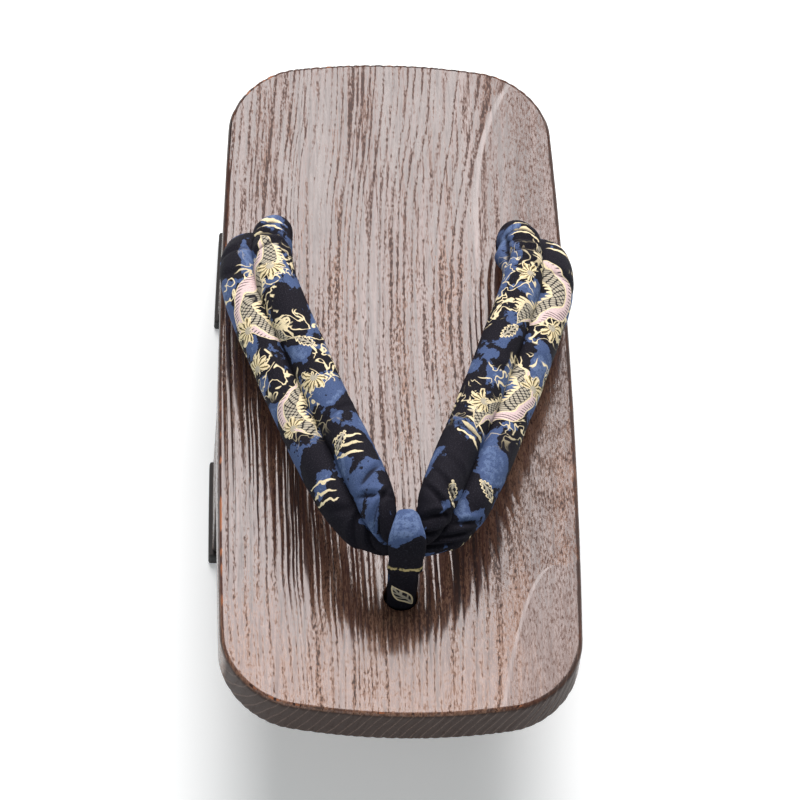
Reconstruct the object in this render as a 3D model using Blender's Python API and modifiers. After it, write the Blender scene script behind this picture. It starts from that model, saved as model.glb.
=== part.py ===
"""A geta: a flat wooden sandal on two teeth, held by a padded strap and a toe loop.

Metres, +Z up. The toe points along -Y, the heel along +Y, and the floor is z = 0.
"""

import math

import bmesh
import bpy
import numpy as np

MM = 0.001

# Deck, seen from above
LENGTH = 265.0 * MM
TOE_HALF_WIDTH = 59.0 * MM        # side line carried on to the toe end
HEEL_HALF_WIDTH = 54.5 * MM       # side line carried on to the heel end
SIDE_BOW = 3.3 * MM               # how far the long sides swell at mid length
TOE_SAG = 8.4 * MM                # how far the toe end curves back at its corners
HEEL_SAG = 7.4 * MM
TOE_CORNER = 22.4 * MM            # length of end that the rounded corner takes
HEEL_CORNER = 21.8 * MM
END_POINTS = 6                    # outline points on half an end, a corner and a side
CORNER_POINTS = 10
SIDE_POINTS = 12

# Heights
TREAD_THICKNESS = 5.0 * MM
TOOTH_HEIGHT = 40.7 * MM
DECK_THICKNESS = 15.7 * MM
SEAM = 0.3 * MM                   # glue line between stacked pieces
TOOTH_BASE = TREAD_THICKNESS + SEAM
DECK_BASE = TOOTH_BASE + TOOTH_HEIGHT + SEAM
DECK_TOP = DECK_BASE + DECK_THICKNESS

# Teeth
TOOTH_LENGTH = 36.8 * MM
FRONT_TOOTH_START = -36.4 * MM
REAR_TOOTH_START = 60.7 * MM
TOOTH_INSET = 0.2 * MM            # teeth stand almost flush with the deck's sides
TREAD_OVERHANG = 1.0 * MM         # rubber stands proud of the wood all round
TOOTH_SIDE_POINTS = 5

# Softened edges: width and steps
DECK_ROUND = (1.8 * MM, 3)
TOOTH_ROUND = (1.2 * MM, 2)
TREAD_ROUND = (0.8 * MM, 2)
SHARP_ANGLE = math.radians(40)

# Strap: two padded rolls side by side. One half, from the toe loop back to its hole, in mm.
# z is above the deck. toward and lean, in degrees, aim the line from outer to inner roll.
STRAP_COLUMNS = ("x", "y", "z", "toward", "lean", "radius", "spacing")
STRAP_ROWS = (
    (0.0, -81.7, 27.8, 90.0, 98.0, 4.4, 6.0),     # pinched by the toe loop
    (5.8, -81.0, 28.0, 100.0, 84.0, 4.7, 6.6),
    (10.4, -77.4, 29.2, 120.0, 60.0, 6.0, 10.2),
    (15.0, -69.6, 30.2, 142.0, 45.0, 6.7, 12.2),
    (20.4, -57.0, 29.6, 153.0, 35.0, 6.9, 12.6),
    (29.2, -33.5, 27.3, 158.0, 31.0, 6.9, 12.6),
    (37.0, -10.5, 24.9, 161.0, 31.0, 6.9, 12.6),
    (43.2, 8.5, 22.9, 165.0, 31.0, 6.9, 12.6),
    (47.0, 22.0, 21.2, 167.0, 30.0, 6.9, 12.5),
    (47.8, 33.5, 19.2, 164.0, 27.0, 6.9, 12.1),   # widest, then it turns down
    (46.9, 41.8, 15.4, 154.0, 22.0, 6.7, 11.0),
    (44.4, 47.3, 9.6, 142.0, 12.0, 6.5, 8.8),
    (42.9, 48.8, 4.4, 135.0, 0.0, 6.2, 5.2),
    (42.7, 48.8, 0.6, 135.0, 0.0, 5.7, 0.7),      # enters the deck
)
STRAP_STEP = 3.2 * MM             # distance between sections along the strap
ROLL_POINTS = 9                   # points round each roll

# Knot under the deck that stops the strap pulling through, in mm
KNOT_COLUMNS = ("below_deck", "radius")
KNOT_ROWS = (
    (0.0, 6.0),
    (0.35, 6.6),
    (1.6, 8.1),
    (4.2, 8.8),
    (7.2, 8.1),
    (9.4, 6.0),
    (10.4, 3.0),
)

# Toe loop: a cloth band over the pinched strap, both legs down one hole, in mm.
# z is above the deck. The band's width lies along x.
LOOP_COLUMNS = ("y", "z", "half_width", "half_thickness")
LOOP_ROWS = (
    (-88.8, -20.0, 4.6, 2.0),                     # front leg, inside its knot
    (-88.8, -8.0, 4.6, 2.0),
    (-88.8, 2.0, 4.7, 2.1),
    (-88.8, 12.0, 4.8, 2.1),
    (-88.8, 20.0, 5.0, 1.8),
    (-88.9, 26.6, 5.6, 1.5),
    (-88.2, 32.2, 6.2, 1.5),
    (-85.1, 36.5, 5.8, 1.5),
    (-80.8, 37.0, 4.6, 1.5),                      # over the strap
    (-76.6, 34.8, 3.4, 1.6),
    (-74.6, 30.4, 2.8, 1.7),                      # gathered between the rolls
    (-74.4, 25.2, 3.0, 1.7),
    (-76.9, 19.0, 3.8, 1.8),
    (-82.0, 13.4, 4.6, 2.0),
    (-84.0, 7.0, 4.7, 2.1),
    (-84.2, 0.0, 4.6, 2.0),
    (-84.2, -8.0, 4.6, 2.0),
    (-84.2, -20.0, 4.6, 2.0),                     # rear leg, inside its knot
)
LOOP_STEP = 3.6 * MM
LOOP_POINTS = 14
LOOP_SQUARENESS = 0.75            # below 1 squares the band's oval section
LOOP_KNOT_GAP = 0.35 * MM
LOOP_KNOT_RADIUS = 8.6 * MM
LOOP_KNOT_HEIGHT = 11.0 * MM
LOOP_KNOT_SEGMENTS = 20

# Holes through the deck, where the strap and the loop go down
STRAP_HOLE = (STRAP_ROWS[-1][0] * MM, STRAP_ROWS[-1][1] * MM)
STRAP_HOLE_RADIUS = 6.4 * MM
TOE_HOLE = (0.0, (LOOP_ROWS[0][0] + LOOP_ROWS[-1][0]) / 2 * MM)
TOE_HOLE_RADIUS = 5.8 * MM
HOLE_SIDES = 28

# Materials: name, base colour, roughness
WOOD = ("burnt wood", (0.115, 0.052, 0.032), 0.42)
RUBBER = ("black rubber", (0.012, 0.012, 0.013), 0.6)
CLOTH = ("printed cotton", (0.030, 0.045, 0.095), 0.85)


def clear_scene():
    for old in list(bpy.data.objects):
        bpy.data.objects.remove(old)


def make_collection(name):
    collection = bpy.data.collections.new(name)
    bpy.context.scene.collection.children.link(collection)
    return collection


def make_material(name, colour, roughness):
    material = bpy.data.materials.new(name)
    material.use_nodes = True
    shader = material.node_tree.nodes["Principled BSDF"]
    shader.inputs["Base Color"].default_value = (*colour, 1.0)
    shader.inputs["Roughness"].default_value = roughness
    return material


def add_object(name, shape, collection, material):
    """Turns a bmesh into an object with outward faces, in a collection."""
    bmesh.ops.recalc_face_normals(shape, faces=shape.faces)
    mesh = bpy.data.meshes.new(name)
    shape.to_mesh(mesh)
    shape.free()
    mesh.materials.append(material)
    made = bpy.data.objects.new(name, mesh)
    collection.objects.link(made)
    return made


def keep_as_tool(made, name, cutters):
    """Names the newest primitive and puts it with the shapes that only cut or join."""
    made.name = name
    for holder in list(made.users_collection):
        holder.objects.unlink(made)
    cutters.objects.link(made)
    made.hide_render = True
    made.display_type = "WIRE"
    return made


def read_table(columns, rows):
    """A table's columns as arrays, by name."""
    return dict(zip(columns, np.array(rows).T))


def half_width(y):
    """Half the deck's width at y, before its corners are rounded."""
    share = y / LENGTH + 0.5
    straight = TOE_HALF_WIDTH * (1 - share) + HEEL_HALF_WIDTH * share
    return straight + 4 * SIDE_BOW * share * (1 - share)


def side_slope(y):
    """How fast half_width grows with y."""
    share = y / LENGTH + 0.5
    return (HEEL_HALF_WIDTH - TOE_HALF_WIDTH + 4 * SIDE_BOW * (1 - 2 * share)) / LENGTH


def round_corner(start, start_way, finish, finish_way):
    """A conic from start to finish that follows the given way at each end."""
    ways = np.column_stack([start_way, finish_way])
    reach = np.linalg.solve(ways, finish - start)[0]
    apex = start + reach * np.asarray(start_way)
    u = np.linspace(0.0, 1.0, CORNER_POINTS)[:, None]
    pull = 2 * math.cos(math.pi / 4) * u * (1 - u)
    near, far = (1 - u) ** 2, u**2
    return (near * start + pull * apex + far * finish) / (near + pull + far)


def deck_end(sign, sag, end_half_width, corner):
    """Right half of the toe end (sign -1) or heel end (+1), from its middle to the side."""
    xs = np.linspace(0.0, end_half_width - corner, END_POINTS)
    face = np.column_stack([xs, sign * (LENGTH / 2 - sag * (xs / end_half_width) ** 2)])
    face_slope = -sign * 2 * sag * xs[-1] / end_half_width**2
    side_y = sign * (LENGTH / 2 - sag - corner)
    side = np.array([half_width(side_y), side_y])
    turn = round_corner(face[-1], (1.0, face_slope), side, (side_slope(side_y), 1.0))
    return np.vstack([face, turn[1:]])


def deck_outline():
    """The deck's outline, anticlockwise from above, starting at the middle of the toe."""
    toe = deck_end(-1, TOE_SAG, TOE_HALF_WIDTH, TOE_CORNER)
    heel = deck_end(1, HEEL_SAG, HEEL_HALF_WIDTH, HEEL_CORNER)[::-1]
    ys = np.linspace(toe[-1, 1], heel[0, 1], SIDE_POINTS + 2)[1:-1]
    side = np.column_stack([half_width(ys), ys])
    right = np.vstack([toe, side, heel])
    left = (right * (-1.0, 1.0))[::-1]
    return np.vstack([right, left[1:-1]])


def tooth_outline(start, grow):
    """A tooth's plan: the deck's own sides between two straight faces, grown by an offset."""
    ys = np.linspace(start - grow, start + TOOTH_LENGTH + grow, TOOTH_SIDE_POINTS)
    right = np.column_stack([half_width(ys) + grow, ys])
    left = (right * (-1.0, 1.0))[::-1]
    return np.vstack([right, left])


def make_slab(name, outline, low, high, rounding, collection, material):
    """A flat piece of the given plan between two heights, with rounded edges."""
    shape = bmesh.new()
    corners = [shape.verts.new((x, y, low)) for x, y in outline]
    floor = shape.faces.new(corners)
    raised = bmesh.ops.extrude_face_region(shape, geom=[floor])["geom"]
    lifted = [item for item in raised if isinstance(item, bmesh.types.BMVert)]
    bmesh.ops.translate(shape, vec=(0.0, 0.0, high - low), verts=lifted)
    made = add_object(name, shape, collection, material)
    bevel = made.modifiers.new("soft edges", "BEVEL")
    bevel.width, bevel.segments = rounding
    bevel.limit_method = "ANGLE"
    bevel.angle_limit = SHARP_ANGLE
    return made


def drill(target, centre, radius, cutters):
    """Cuts a round hole right through the deck."""
    bpy.ops.mesh.primitive_cylinder_add(
        vertices=HOLE_SIDES,
        radius=radius,
        depth=3 * DECK_THICKNESS,
        location=(*centre, DECK_BASE + DECK_THICKNESS / 2),
    )
    cut = target.modifiers.new("hole", "BOOLEAN")
    cut.operation = "DIFFERENCE"
    cut.object = keep_as_tool(bpy.context.object, f"{target.name} hole", cutters)


def smooth_rows(rows, before, step):
    """Rows read from a smooth curve through the given ones, about a step apart.

    The first three columns are a place, which also measures the distance along. before is
    the row that the curve comes from, and the curve leaves the last row straight.
    """
    full = np.vstack([before, rows, 2 * rows[-1] - rows[-2]])
    gaps = np.linalg.norm(np.diff(full[:, :3], axis=0), axis=1)
    slopes = np.diff(full, axis=0) / gaps[:, None]
    near, far = gaps[:-1, None], gaps[1:, None]
    tangents = (slopes[:-1] * far + slopes[1:] * near) / (near + far)
    found = []
    for i in range(len(rows) - 1):
        gap = gaps[i + 1]
        u = np.linspace(0.0, 1.0, max(2, math.ceil(gap / step) + 1))[:-1, None]
        found.append(
            (2 * u**3 - 3 * u**2 + 1) * rows[i]
            + (u**3 - 2 * u**2 + u) * gap * tangents[i]
            + (3 * u**2 - 2 * u**3) * rows[i + 1]
            + (u**3 - u**2) * gap * tangents[i + 1]
        )
    found.append(rows[-1:])
    return np.vstack(found)


def unit(vectors):
    return vectors / np.linalg.norm(vectors, axis=-1, keepdims=True)


def aim(toward, lean):
    """Unit vectors with the given compass angles and rises, in degrees."""
    toward, lean = np.radians(toward), np.radians(lean)
    flat = np.cos(lean)
    return np.column_stack([flat * np.cos(toward), flat * np.sin(toward), np.sin(lean)])


def two_rolls(radius, spacing):
    """Outline of two rolls pressed together, as (along the pair, across it)."""
    crease = math.acos(-spacing / 2 / radius)
    angles = np.linspace(-crease, crease, ROLL_POINTS)[:-1]
    roll = np.column_stack([spacing / 2 + radius * np.cos(angles), radius * np.sin(angles)])
    return np.vstack([roll, -roll])


def loft(name, rings, capped_start, collection, material):
    """A skin through closed rings of equal point count, capped at its last ring."""
    count = len(rings[0])
    shape = bmesh.new()
    loops = [[shape.verts.new(point) for point in ring] for ring in rings]
    for one, two in zip(loops, loops[1:]):
        for i in range(count):
            j = (i + 1) % count
            shape.faces.new((one[i], one[j], two[j], two[i]))
    shape.faces.new(loops[-1])
    if capped_start:
        shape.faces.new(loops[0][::-1])
    made = add_object(name, shape, collection, material)
    made.data.shade_smooth()
    return made


def strap_rings():
    """Sections of the strap's right half, from the toe loop back, down and into its knot."""
    table = read_table(STRAP_COLUMNS, STRAP_ROWS)
    rows = np.column_stack([
        table["x"] * MM,
        table["y"] * MM,
        table["z"] * MM + DECK_TOP,
        aim(table["toward"], table["lean"]),
        table["radius"] * MM,
        table["spacing"] * MM,
    ])
    mirrored = rows[1] * (-1, 1, 1, -1, 1, 1, 1, 1)
    rows = smooth_rows(rows, mirrored, STRAP_STEP)
    centre, across, sizes = rows[:, 0:3], rows[:, 3:6], rows[:, 6:8]
    way = np.gradient(centre, axis=0)
    way[0] = (1.0, 0.0, 0.0)
    way[-1] = (0.0, 0.0, -1.0)
    way = unit(way)
    across = unit(across - way * np.sum(across * way, axis=1, keepdims=True))
    facing = np.cross(way, across)
    rings = []
    for place, side, face, (radius, spacing) in zip(centre, across, facing, sizes):
        outline = two_rolls(radius, spacing)
        rings.append(place + outline[:, :1] * side + outline[:, 1:] * face)
    knot = read_table(KNOT_COLUMNS, KNOT_ROWS)
    for below, radius in zip(knot["below_deck"] * MM, knot["radius"] * MM):
        place = np.array([*STRAP_HOLE, DECK_BASE - below])
        outline = two_rolls(radius, 0.0)
        rings.append(place + outline[:, :1] * across[-1] + outline[:, 1:] * facing[-1])
    return rings


def make_strap(collection, material):
    """The padded strap: one half, mirrored over the middle of the toe."""
    strap = loft("strap", strap_rings(), False, collection, material)
    mirror = strap.modifiers.new("other half", "MIRROR")
    mirror.use_axis = (True, False, False)
    mirror.merge_threshold = 0.05 * MM


def loop_rings():
    """Sections of the toe loop, up its front leg, over the strap and down its rear leg."""
    table = read_table(LOOP_COLUMNS, LOOP_ROWS)
    rows = np.column_stack([
        np.zeros(len(LOOP_ROWS)),
        table["y"] * MM,
        table["z"] * MM + DECK_TOP,
        table["half_width"] * MM,
        table["half_thickness"] * MM,
    ])
    rows = smooth_rows(rows, 2 * rows[0] - rows[1], LOOP_STEP)
    way = unit(np.gradient(rows[:, 0:3], axis=0))
    broad = np.array([1.0, 0.0, 0.0])
    angles = np.linspace(0.0, 2 * math.pi, LOOP_POINTS, endpoint=False)
    flat = np.sign(np.cos(angles)) * np.abs(np.cos(angles)) ** LOOP_SQUARENESS
    deep = np.sign(np.sin(angles)) * np.abs(np.sin(angles)) ** LOOP_SQUARENESS
    rings = []
    for row, along in zip(rows, way):
        middle, half, thick = row[0:3], row[3], row[4]
        outward = np.cross(broad, along)
        rings.append(middle + np.outer(half * flat, broad) + np.outer(thick * deep, outward))
    return rings


def make_toe_loop(collection, cutters, material):
    """The toe loop's band, with the knot that holds its two legs under the deck."""
    band = loft("toe_loop", loop_rings(), True, collection, material)
    half_height = LOOP_KNOT_HEIGHT / 2
    bpy.ops.mesh.primitive_uv_sphere_add(
        segments=LOOP_KNOT_SEGMENTS,
        ring_count=LOOP_KNOT_SEGMENTS // 2,
        radius=1.0,
        location=(*TOE_HOLE, DECK_BASE - LOOP_KNOT_GAP - half_height),
        scale=(LOOP_KNOT_RADIUS, LOOP_KNOT_RADIUS, half_height),
    )
    join = band.modifiers.new("knot", "BOOLEAN")
    join.operation = "UNION"
    join.object = keep_as_tool(bpy.context.object, "toe_loop knot", cutters)


def main():
    clear_scene()
    parts = make_collection("geta")
    cutters = make_collection("geta cutters")
    wood, rubber, cloth = (make_material(*values) for values in (WOOD, RUBBER, CLOTH))

    deck = make_slab("deck", deck_outline(), DECK_BASE, DECK_TOP, DECK_ROUND, parts, wood)
    hole_x, hole_y = STRAP_HOLE
    drill(deck, TOE_HOLE, TOE_HOLE_RADIUS, cutters)
    drill(deck, (hole_x, hole_y), STRAP_HOLE_RADIUS, cutters)
    drill(deck, (-hole_x, hole_y), STRAP_HOLE_RADIUS, cutters)

    for place, start in (("front", FRONT_TOOTH_START), ("rear", REAR_TOOTH_START)):
        block = tooth_outline(start, -TOOTH_INSET)
        tooth_top = TOOTH_BASE + TOOTH_HEIGHT
        make_slab(f"{place}_tooth", block, TOOTH_BASE, tooth_top, TOOTH_ROUND, parts, wood)
        pad = tooth_outline(start, TREAD_OVERHANG)
        make_slab(f"{place}_tread", pad, 0.0, TREAD_THICKNESS, TREAD_ROUND, parts, rubber)

    make_strap(parts, cloth)
    make_toe_loop(parts, cutters, cloth)


main()
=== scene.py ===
import math

import bmesh
import bpy
import numpy as np
from mathutils import Matrix, Vector


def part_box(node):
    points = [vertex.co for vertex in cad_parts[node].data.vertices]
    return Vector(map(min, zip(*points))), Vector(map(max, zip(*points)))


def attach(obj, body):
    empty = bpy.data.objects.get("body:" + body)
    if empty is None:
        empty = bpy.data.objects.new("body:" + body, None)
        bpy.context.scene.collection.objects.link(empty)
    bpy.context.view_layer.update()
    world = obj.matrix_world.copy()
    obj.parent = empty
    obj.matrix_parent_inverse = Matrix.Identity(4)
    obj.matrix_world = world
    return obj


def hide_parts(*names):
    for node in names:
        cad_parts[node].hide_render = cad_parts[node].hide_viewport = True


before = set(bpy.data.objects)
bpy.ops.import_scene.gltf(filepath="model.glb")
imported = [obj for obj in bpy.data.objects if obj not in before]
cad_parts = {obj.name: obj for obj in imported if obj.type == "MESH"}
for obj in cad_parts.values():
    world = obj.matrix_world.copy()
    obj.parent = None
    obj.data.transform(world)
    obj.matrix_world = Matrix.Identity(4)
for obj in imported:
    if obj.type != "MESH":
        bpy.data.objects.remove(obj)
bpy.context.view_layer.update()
mm = 0.001
print("frame loaded:", ", ".join(sorted(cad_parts)))


# a link or a fixed value into a node's input
def plug(socket, value):
    if isinstance(value, Socket):
        socket.id_data.links.new(value.socket, socket)
    elif socket.type == "RGBA":
        socket.default_value = (*value, 1.0)
    else:
        socket.default_value = value


# Shader maths: a wrapped socket that adds Math nodes when it is used in an expression
class Socket:
    def __init__(self, tree, socket):
        self.tree = tree
        self.socket = socket

    # any node: settings go on the node first, then values or links go into its sockets
    def node(self, kind, settings, values, out=0):
        made = self.tree.nodes.new(kind)
        for name, value in settings.items():
            setattr(made, name, value)
        for name, value in values.items():
            plug(made.inputs[name], value)
        return Socket(self.tree, made.outputs[out])

    def math(self, operation, *others):
        values = dict(enumerate((self, *others)))
        return self.node("ShaderNodeMath", {"operation": operation}, values)

    def __add__(self, other):
        return self.math("ADD", other)

    def __sub__(self, other):
        return self.math("SUBTRACT", other)

    # other minus this, as this times -1 plus other
    def __rsub__(self, other):
        return self.math("MULTIPLY_ADD", -1.0, other)

    def __mul__(self, other):
        return self.math("MULTIPLY", other)

    def __truediv__(self, other):
        return self.math("DIVIDE", other)

    def __abs__(self):
        return self.math("ABSOLUTE")

    __radd__ = __add__
    __rmul__ = __mul__

    def sin(self):
        return self.math("SINE")

    # the larger of two
    def atTop(self, other):
        return self.math("MAXIMUM", other)

    # 0 below low, 1 above high, smooth between them; low above high turns it round
    def rise(self, low, high):
        values = {"Value": self, "From Min": low, "From Max": high}
        return self.node("ShaderNodeMapRange", {"interpolation_type": "SMOOTHSTEP"}, values)

    # a colour between two, this value being the share of the second
    def blend(self, first, second):
        settings = {"data_type": "RGBA"}
        return self.node("ShaderNodeMix", settings, {0: self, 6: first, 7: second}, 2)

    # soft noise from 0 to 1 at this place, with bend twisting it
    def noise(self, scale, detail=2.0, rough=0.5, bend=0.0):
        values = {"Vector": self, "Scale": scale, "Detail": detail, "Roughness": rough, "Distortion": bend}
        return self.node("ShaderNodeTexNoise", {}, values, "Fac")

    # a place times a size
    def stretched(self, size):
        return self.node("ShaderNodeVectorMath", {"operation": "MULTIPLY"}, {0: self, 1: size})

    # a place plus a step
    def shifted(self, step):
        return self.node("ShaderNodeVectorMath", {"operation": "ADD"}, {0: self, 1: step})

    # x, y or z of a place
    def apart(self, index):
        return self.node("ShaderNodeSeparateXYZ", {}, {0: self}, index)

    # the normal that this height gives, with a finish's own settings
    def bumped(self, look):
        values = {"Strength": look["bump"], "Distance": look["bumpHeight"], "Height": self}
        return self.node("ShaderNodeBump", {}, values)


# a new material, with a socket that its nodes start from, and its shader
def startFinish(name):
    material = bpy.data.materials.new(name)
    material.use_nodes = True
    tree = material.node_tree
    return material, Socket(tree, None), tree.nodes["Principled BSDF"]


# sRGB values, 0 to 255, as the linear colour that a shader takes
def ink(*levels):
    shares = np.array(levels) / 255.0
    linear = np.where(shares <= 0.04045, shares / 12.92, ((shares + 0.055) / 1.055) ** 2.4)
    return tuple(float(level) for level in linear)


# links and fixed values into the shader's inputs, with _ for the spaces in their names
def feed(shader, **inputs):
    for name, value in inputs.items():
        plug(shader.inputs[name.replace("_", " ")], value)


# Surface maths

# vectors divided by their lengths
def unit(vectors):
    return vectors / np.linalg.norm(vectors, axis=-1, keepdims=True)


# the first plus a share of the way to the second
def mixed(first, second, share):
    return first + (second - first) * share


# three squares less two cubes: level at 0 and at 1
def fade(values):
    return values * values * (3 - 2 * values)


# 0 below low, 1 above high, smooth between them
def rise(values, low, high):
    return fade(np.clip((values - low) / (high - low), 0.0, 1.0))


# a bell curve: 1 at 0, and close to 0 from 2 on
def bell(values):
    return np.exp(-(values**2))


# value noise: random levels at whole-number corners, blended with a cubic fade
def softNoise(x, y, seed):
    size = 128
    levels = np.random.default_rng(seed).random((size, size))
    left, low = np.floor(x).astype(int), np.floor(y).astype(int)
    shareX, shareY = fade(x - left), fade(y - low)
    near = mixed(levels[left % size, low % size], levels[(left + 1) % size, low % size], shareX)
    far = mixed(levels[left % size, (low + 1) % size], levels[(left + 1) % size, (low + 1) % size], shareX)
    return mixed(near, far, shareY) * 2 - 1


# layers of value noise added up: the height, both lengths and the seed of each
def waves(x, y, layers):
    return sum(height * softNoise(x / longX, y / longY, seed) for height, longX, longY, seed in layers)


# length along a line of points, from 0 at its start
def lengthAlong(points):
    return np.concatenate([[0.0], np.cumsum(np.linalg.norm(np.diff(points, axis=0), axis=1))])


# a cubic Hermite curve through the rows, its slopes weighted by the distances between them. The first
# three columns are a place, and the steps along it are equal.
def smoothRows(rows, step):
    full = np.vstack([2 * rows[0] - rows[1], rows, 2 * rows[-1] - rows[-2]])
    gaps = np.linalg.norm(np.diff(full[:, :3], axis=0), axis=1)
    slopes = np.diff(full, axis=0) / gaps[:, None]
    near, far = gaps[:-1, None], gaps[1:, None]
    tangents = (slopes[:-1] * far + slopes[1:] * near) / (near + far)
    places = lengthAlong(rows[:, :3])
    wanted = np.linspace(0.0, places[-1], math.ceil(places[-1] / step) + 1)
    index = np.clip(np.searchsorted(places, wanted, side="right") - 1, 0, len(rows) - 2)
    gap = gaps[1:-1][index][:, None]
    u = (wanted - places[index])[:, None] / gap
    return (
        (2 * u**3 - 3 * u**2 + 1) * rows[index]
        + (u**3 - 2 * u**2 + u) * gap * tangents[index]
        + (3 * u**2 - 2 * u**3) * rows[index + 1]
        + (u**3 - u**2) * gap * tangents[index + 1]
    )


weldDistance = 0.002 * mm


# a closed skin on a grid of rows and columns: columns go round, and the first and last rows
# fold up to a point or a line, whose doubles are merged
def addSkin(name, grid, chart=None, marks=None):
    rows, columns = grid.shape[:2]
    corner = np.arange(rows * columns).reshape(rows, columns)
    after = np.roll(corner, -1, axis=1)
    faces = np.stack([corner[:-1], after[:-1], after[1:], corner[1:]], axis=-1).reshape(-1, 4)
    mesh = bpy.data.meshes.new(name)
    mesh.from_pydata(grid.reshape(-1, 3).tolist(), [], faces.tolist())
    if chart is not None:
        # chart has one more column than the grid, so that the seam keeps its own place
        corners = [chart[:-1, :-1], chart[:-1, 1:], chart[1:, 1:], chart[1:, :-1]]
        layer = mesh.uv_layers.new(name="cloth")
        layer.data.foreach_set("uv", np.stack(corners, axis=-2).astype(np.float32).ravel())
    if marks is not None:
        layer = mesh.attributes.new("marks", "FLOAT_VECTOR", "POINT")
        layer.data.foreach_set("vector", marks.astype(np.float32).ravel())
    shape = bmesh.new()
    shape.from_mesh(mesh)
    bmesh.ops.remove_doubles(shape, verts=shape.verts, dist=weldDistance)
    bmesh.ops.recalc_face_normals(shape, faces=shape.faces)
    shape.to_mesh(mesh)
    shape.free()
    mesh.shade_smooth()
    made = bpy.data.objects.new(name, mesh)
    bpy.context.scene.collection.objects.link(made)
    return made


# Camera, light and floor
studio = {
    "eye": (-0.1153, -1.0164, 1.5954),    # where the picture was taken from, in the shoe's frame
    "aim": (0.0013, -0.0093, 0.062),
    "roll": 6.53,
    "lens": 245.0,
    "softboxWay": (0.063, 0.552, 0.833),  # where the deck mirrors the camera's view to
    "softboxDistance": 1.25,
    "softboxSize": (1.25, 0.95),
    "softboxPower": 31.0,
    "softboxColour": (1.0, 0.9, 0.88),
    "fillFrom": (-0.5, -1.3, 1.1),        # a weak, wide panel beside the camera
    "fillSize": (1.6, 1.2),
    "fillPower": 5.0,
    "skyStrength": 0.18,
    "floorColour": (0.82, 0.9, 0.92),
    "floorGlow": 0.25,                    # keeps the shadow on the floor faint
    "floorSize": 8.0,
    "floorDrop": 0.1 * mm,                # below the treads
}


# a rectangular light that faces its aim
def addPanel(name, place, aim, size, power, colour=(1.0, 1.0, 1.0)):
    panel = bpy.data.lights.new(name, "AREA")
    panel.shape = "RECTANGLE"
    panel.size, panel.size_y = size
    panel.energy = power
    panel.color = colour
    light = bpy.data.objects.new(name, panel)
    light.location = place
    light.rotation_mode = "QUATERNION"
    light.rotation_quaternion = (aim - place).to_track_quat("-Z", "Y")
    bpy.context.scene.collection.objects.link(light)


# the camera looks along the line from its eye to its aim, and its level is turned by the roll
def addCamera(eye, aim):
    forward = (aim - eye).normalized()
    level = forward.cross(Vector((0, 0, 1))).normalized()
    upright = level.cross(forward)
    roll = math.radians(studio["roll"])
    right = level * math.cos(roll) + upright * math.sin(roll)
    up = right.cross(forward)
    lens = bpy.data.cameras.new("camera")
    lens.lens = studio["lens"]
    camera = bpy.data.objects.new("camera", lens)
    turn = Matrix((right, up, -forward)).transposed().to_4x4()
    camera.matrix_world = Matrix.Translation(eye) @ turn
    bpy.context.scene.collection.objects.link(camera)
    bpy.context.scene.camera = camera


# an even white sky
def addSky():
    sky = bpy.data.worlds.new("sky")
    sky.use_nodes = True
    background = sky.node_tree.nodes["Background"]
    background.inputs["Color"].default_value = (1, 1, 1, 1)
    background.inputs["Strength"].default_value = studio["skyStrength"]
    bpy.context.scene.world = sky


# a large square that glows a little
def addFloor():
    half, low = studio["floorSize"] / 2, -studio["floorDrop"]
    mesh = bpy.data.meshes.new("floor")
    corners = [(-half, -half, low), (half, -half, low), (half, half, low), (-half, half, low)]
    mesh.from_pydata(corners, [], [(0, 1, 2, 3)])
    floor = bpy.data.objects.new("floor", mesh)
    paint, _, shader = startFinish("floor paint")
    feed(
        shader, Base_Color=studio["floorColour"], Roughness=0.9, Specular_IOR_Level=0.1,
        Emission_Color=(1.0, 1.0, 1.0), Emission_Strength=studio["floorGlow"],
    )
    mesh.materials.append(paint)
    bpy.context.scene.collection.objects.link(floor)


def addStudio():
    bpy.context.scene.view_settings.view_transform = "Standard"
    eye, aim = Vector(studio["eye"]), Vector(studio["aim"])
    addCamera(eye, aim)
    softboxPlace = aim + Vector(studio["softboxWay"]).normalized() * studio["softboxDistance"]
    addPanel(
        "softbox", softboxPlace, aim, studio["softboxSize"], studio["softboxPower"], studio["softboxColour"]
    )
    addPanel("fill", Vector(studio["fillFrom"]), aim, studio["fillSize"], studio["fillPower"])
    addSky()
    addFloor()
    print("studio set")


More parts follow.
